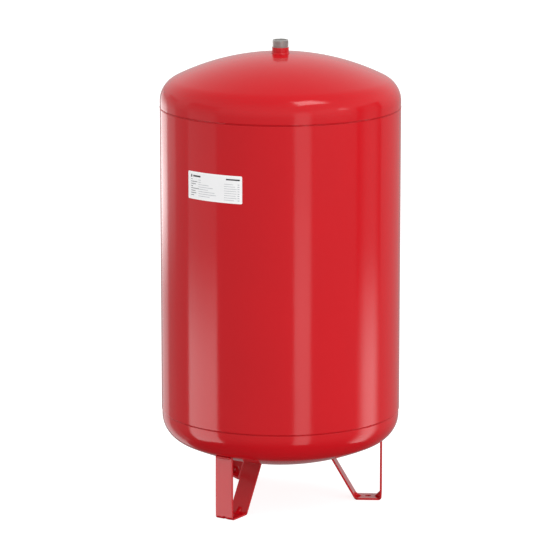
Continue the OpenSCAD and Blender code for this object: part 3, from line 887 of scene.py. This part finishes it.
# Butyl rubber, compression-moulded: matt black with a fine grain from the blasted mould and a
# greyish bloom in soft patches.
butyl_rubber, shader, place = new_material(
    "butyl_rubber_moulded", roughness=0.6, specular_ior_level=0.4
)
bloom = add(butyl_rubber, "ShaderNodeTexNoise", {"Vector": place, "Scale": 1 / 0.060, "Detail": 5})
blacks = add(butyl_rubber, "ShaderNodeMix", {
    "Factor": bloom["Fac"], "A": colour("#161617"), "B": colour("#2C2C2E")
}, data_type="RGBA")
grain = add(butyl_rubber, "ShaderNodeTexNoise", {"Vector": place, "Scale": 1 / 0.0006, "Detail": 1})
matted = add(butyl_rubber, "ShaderNodeMapRange", {
    "Value": bloom["Fac"], "To Min": 0.5, "To Max": 0.72
})
moulded = add(butyl_rubber, "ShaderNodeBump", {
    "Height": grain["Fac"], "Distance": 0.03 * MM, "Strength": 1
})
link(butyl_rubber, blacks["Result"], shader, "Base Color")
link(butyl_rubber, matted["Result"], shader, "Roughness")
link(butyl_rubber, moulded["Normal"], shader, "Normal")

coated(zinc_steel, "support_ring", "clamp_ring", "retaining_ring")

# The bag is drawn upside down from its rim, as a dome with a long wall, and then turned over
bag_rise = bag_crown - sqrt((bag_crown - bag_knuckle) ** 2 - (bag_r - bag_knuckle) ** 2)
wall_top = bag_depth - bag_rise
bag_shape = (bag_crown, bag_knuckle, wall_top)
outer = dished(bag_r, bag_shape, 0, 0.001)
inner = dished(bag_r, bag_shape, rubber, 0.001)
outer_wall = [(bag_r, wall_top * i / wall_rows) for i in range(wall_rows)]
inner_wall = [(bag_r - rubber, wall_top * i / wall_rows) for i in range(wall_rows)]
rim = [
    (bag_r - rubber, -rubber, 2.5), (rim_inner, -rubber, 0.8), (rim_inner, -8, 1), (rim_r, -8, 1),
    (rim_r, 0, 1), (bag_r, 0, 0.3)
]
bag_outline = rounded(
    rim + [(r, h, 0) for r, h in outer_wall[1:] + outer[:-1]] + [(0, outer[-1][1], 0)]
    + [(0, inner[-1][1], 0)] + [(r, h, 0) for r, h in reversed(inner_wall[1:] + inner[:-1])]
)
bag = turned("diaphragm_bag", [(r, seat + 0.05 - h) for r, h in bag_outline], steps=144)
finished(bag, butyl_rubber, crease=40)
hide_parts("diaphragm")
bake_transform(bag)


# ---- Gas valve ----
# A turned steel boss is welded through the roof of the pocket, and a brass valve body screws
# into it on an O-ring. Its stem points down and takes a charging chuck.

# Free-cutting brass, turned: warm yellow with fine rings from the tool and slight tarnish.
brass, shader, place = new_material("free_cutting_brass_turned", metallic=1, roughness=0.25)
# The tool's faint rings come 3.8 mm apart: bands turn 20 radians in each unit of their scale
rings = add(brass, "ShaderNodeTexWave", {
    "Vector": place, "Scale": 1 / 0.0006 / 20, "Distortion": 0.5
}, bands_direction="Z")
cloudy = add(brass, "ShaderNodeTexNoise", {"Vector": place, "Scale": 1 / 0.006, "Detail": 3})
yellows = add(brass, "ShaderNodeMix", {
    "Factor": cloudy["Fac"], "A": colour("#CFA65A"), "B": colour("#AE8644")
}, data_type="RGBA")
dulling = add(brass, "ShaderNodeMapRange", {"Value": cloudy["Fac"], "To Min": 0.2, "To Max": 0.4})
ringed = add(brass, "ShaderNodeBump", {
    "Height": rings["Fac"], "Distance": 0.01 * MM, "Strength": 1
})
link(brass, yellows["Result"], shader, "Base Color")
link(brass, dulling["Result"], shader, "Roughness")
link(brass, ringed["Normal"], shader, "Normal")

# Nitrile rubber, moulded: black with a slight sheen.
seal_rubber, shader, place = new_material("nitrile_rubber_moulded", roughness=0.42)
mottle = add(seal_rubber, "ShaderNodeTexNoise", {"Vector": place, "Scale": 1 / 0.0010, "Detail": 3})
darks = add(seal_rubber, "ShaderNodeMix", {
    "Factor": mottle["Fac"], "A": colour("#18181A"), "B": colour("#29292B")
}, data_type="RGBA")
pitted = add(seal_rubber, "ShaderNodeBump", {
    "Height": mottle["Fac"], "Distance": 0.01 * MM, "Strength": 1
})
link(seal_rubber, darks["Result"], shader, "Base Color")
link(seal_rubber, pitted["Normal"], shader, "Normal")

# Spring wire, hard drawn: darker grey with long draw lines.
spring_steel, shader, place = new_material("spring_wire_hard_drawn", metallic=1, roughness=0.35)
drawn = add(spring_steel, "ShaderNodeTexNoise", {"Vector": place, "Scale": 1 / 0.0004, "Detail": 2})
wires = add(spring_steel, "ShaderNodeMix", {
    "Factor": drawn["Fac"], "A": colour("#77787B"), "B": colour("#97989B")
}, data_type="RGBA")
lined = add(spring_steel, "ShaderNodeBump", {
    "Height": drawn["Fac"], "Distance": 0.004 * MM, "Strength": 1
})
link(spring_steel, wires["Result"], shader, "Base Color")
link(spring_steel, lined["Normal"], shader, "Normal")

coated(bare_steel, "valve_boss")
coated(red_enamel, "boss_weld")
coated(brass, "valve_body", "core_barrel")
coated(spring_steel, "valve_pin")
coated(seal_rubber, "valve_o_ring", "core_sleeve_seal", "pin_washer")

spring_r = 1.4
wire_r = 0.2
spring_bottom = 90.94
spring_top = 95.04
spring_turns = 6
coil = ring_of("valve_spring_coil", [
    (spring_r + x, spring_bottom + z) for x, z in arc((0, 0), wire_r, 0, 330, 11)
])
screwed(coil, spring_turns, (spring_top - spring_bottom) / spring_turns, steps=36, end_sides=12)
finished(coil, spring_steel, crease=60)
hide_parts("valve_spring")
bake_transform(coil)


# ---- Valve cap ----
# A moulded plastic cap keeps dirt out of the stem. It screws on, with ribs for the fingers, and
# presses a punched rubber disc against the stem's mouth.

# Polypropylene, injection moulded: black, with the fine satin texture of a sparked mould.
cap_plastic, shader, place = new_material("polypropylene_moulded", roughness=0.42)
spark = add(cap_plastic, "ShaderNodeTexNoise", {"Vector": place, "Scale": 1 / 0.0003, "Detail": 2})
tones = add(cap_plastic, "ShaderNodeMix", {
    "Factor": spark["Fac"], "A": colour("#151518"), "B": colour("#222226")
}, data_type="RGBA")
sparked = add(cap_plastic, "ShaderNodeBump", {
    "Height": spark["Fac"], "Distance": 0.015 * MM, "Strength": 1
})
link(cap_plastic, tones["Result"], shader, "Base Color")
link(cap_plastic, sparked["Normal"], shader, "Normal")
coated(cap_plastic, "valve_cap")
coated(seal_rubber, "cap_seal_disc")


# ---- Studio ----
# A plain pale floor of opal sheet, lit softly from beneath and more so for the camera than for
# the vessel, reflector cards round the vessel, and a long lens a little above it.

floor_paint, shader, place = new_material(
    "studio_floor_opal", roughness=0.9, specular_ior_level=0.1,
    emission_color=(1, 1, 1, 1)
)
scuffs = add(floor_paint, "ShaderNodeTexNoise", {"Vector": place, "Scale": 1.2, "Detail": 4})
pales = add(floor_paint, "ShaderNodeMix", {
    "Factor": scuffs["Fac"], "A": colour("#A2A2A2"), "B": colour("#9E9E9E")
}, data_type="RGBA")
seen = add(floor_paint, "ShaderNodeLightPath", {})["Is Camera Ray"]
from_beneath = add(floor_paint, "ShaderNodeMapRange", {
    "Value": seen, "To Min": 0.3, "To Max": 0.85
})
link(floor_paint, pales["Result"], shader, "Base Color")
link(floor_paint, from_beneath["Result"], shader, "Emission Strength")
nothing_selected()
bpy.ops.mesh.primitive_plane_add(size=60, location=(0, 0, 0))
floor = bpy.context.object
floor.name = "studio_floor"
floor.data.materials.append(floor_paint)
floor.visible_glossy = False

# The air of the studio: brightest at the level of the lamps, darker overhead and below
world = bpy.data.worlds.new("studio_air")
bpy.context.scene.world = world
world.use_nodes = True
background = world.node_tree.nodes["Background"]
way_out = add(world, "ShaderNodeTexCoord", {})["Generated"]
height = add(world, "ShaderNodeSeparateXYZ", {"Vector": way_out})["Z"]
below = add(world, "ShaderNodeMapRange", {
    "Value": height, "From Min": -0.8, "From Max": 0, "To Min": 0, "To Max": 0.57
}, clamp=False)
above = add(world, "ShaderNodeMapRange", {
    "Value": height, "From Min": 0.35, "From Max": 1.05, "To Min": 0.76, "To Max": 0.36
}, interpolation_type="SMOOTHSTEP")
air = add(world, "ShaderNodeMath", {0: below["Result"], 1: above["Result"]}, operation="MINIMUM")
dimmest = add(world, "ShaderNodeMath", {0: air["Value"], 1: 0.06}, operation="MAXIMUM")
background.inputs["Color"].default_value = (1, 1, 1, 1)
link(world, dimmest["Value"], background, "Strength")


def place_facing(thing, bearing, distance, middle):
    """Stands a thing upright facing the vessel, its bearing 0 at the camera and + to the right."""
    angle = radians(bearing)
    thing.location = (distance * sin(angle), -distance * cos(angle), middle)
    thing.rotation_euler = (pi / 2, 0, angle)


# Reflector cards, seen only in the gloss: each changes from its foot's light to its top's
# between two heights, dims over its last metre and has soft sides
fall_from, fall_to, end_light = -0.03, 0.32, 0.4
for name, bearing, distance, width, low, high, foot_light, top_light, softness in (
    ("left_card", -75.3, 1.5, 0.93, -0.85, 1.5, 3.5, 0.85, 0.05),
    ("left_back_card", -144.2, 2.15, 0.93, -1.5, 1.0, 1.0, 3.6, 0.06),
    ("left_rim_card", -123.5, 2.2, 0.74, -1.5, 1.4, 0.42, 0.85, 0.05),
    ("front_card", 20, 2.6, 0.72, -1.5, 2.3, 2.3, 1.6, 0.1),
    ("front_top_card", 39.5, 1.6, 1.25, 2.7, 5.3, 5.6, 5.6, 0.25),
    ("right_card", 88, 1.5, 0.86, -1.05, 1.3, 3.1, 0.55, 0.8),
    ("right_top_card", 58.5, 1.5, 0.24, 1.25, 1.6, 10, 10, 0.3),
):
    nothing_selected()
    bpy.ops.mesh.primitive_plane_add(size=1)
    card = bpy.context.object
    card.name = name
    card.scale = (width, high - low, 1)
    bpy.ops.object.transform_apply(location=False, rotation=False, scale=True)
    middle = (high + low) / 2
    place_facing(card, bearing, distance, middle)
    card.visible_camera = card.visible_diffuse = card.visible_shadow = False
    card_cloth, shader, place = new_material(name + "_cloth_lit", roughness=1)
    axes = add(card_cloth, "ShaderNodeSeparateXYZ", {"Vector": place})
    fall = add(card_cloth, "ShaderNodeMapRange", {
        "Value": axes["Y"], "From Min": fall_from - middle, "From Max": fall_to - middle,
        "To Min": foot_light, "To Max": top_light
    }, interpolation_type="SMOOTHSTEP")
    end = add(card_cloth, "ShaderNodeMapRange", {
        "Value": axes["Y"], "From Min": (high - low) / 2 - 1, "From Max": (high - low) / 2,
        "To Min": 1, "To Max": end_light / top_light
    })
    across = add(card_cloth, "ShaderNodeMath", {0: axes["X"]}, operation="ABSOLUTE")
    side = add(card_cloth, "ShaderNodeMapRange", {
        "Value": across["Value"], "From Min": width / 2 * (1 - softness), "From Max": width / 2,
        "To Min": 1, "To Max": 0.15
    }, interpolation_type="SMOOTHSTEP")
    lit = add(card_cloth, "ShaderNodeMath", {
        0: fall["Result"], 1: side["Result"]
    }, operation="MULTIPLY")
    glow = add(card_cloth, "ShaderNodeMath", {
        0: lit["Value"], 1: end["Result"]
    }, operation="MULTIPLY")
    link(card_cloth, glow["Value"], shader, "Emission Strength")
    shader.inputs["Emission Color"].default_value = (1, 1, 1, 1)
    shader.inputs["Base Color"].default_value = (0, 0, 0, 1)
    card.data.materials.append(card_cloth)

# One wide lamp overhead and one at the front right, both too soft to show in the gloss
lamp = bpy.data.lights.new("overhead_lamp", "SUN")
lamp.energy = 2.0
lamp.angle = radians(110)
overhead = bpy.data.objects.new("overhead_lamp", lamp)
bpy.context.scene.collection.objects.link(overhead)
overhead.visible_glossy = False
lamp = bpy.data.lights.new("front_right_lamp", "AREA")
lamp.size = 3
lamp.energy = 85
front_right = bpy.data.objects.new("front_right_lamp", lamp)
bpy.context.scene.collection.objects.link(front_right)
place_facing(front_right, 50, 4.5, 1.6)
front_right.visible_camera = front_right.visible_glossy = False

nothing_selected()
bpy.ops.object.camera_add(location=(-0.0009, -6.9938, 1.9397), rotation=(radians(78.005), 0, 0))
camera = bpy.context.object
camera.data.lens = 226.94
camera.data.sensor_width = 36
bpy.context.scene.camera = camera
bpy.context.scene.view_settings.view_transform = "Standard"
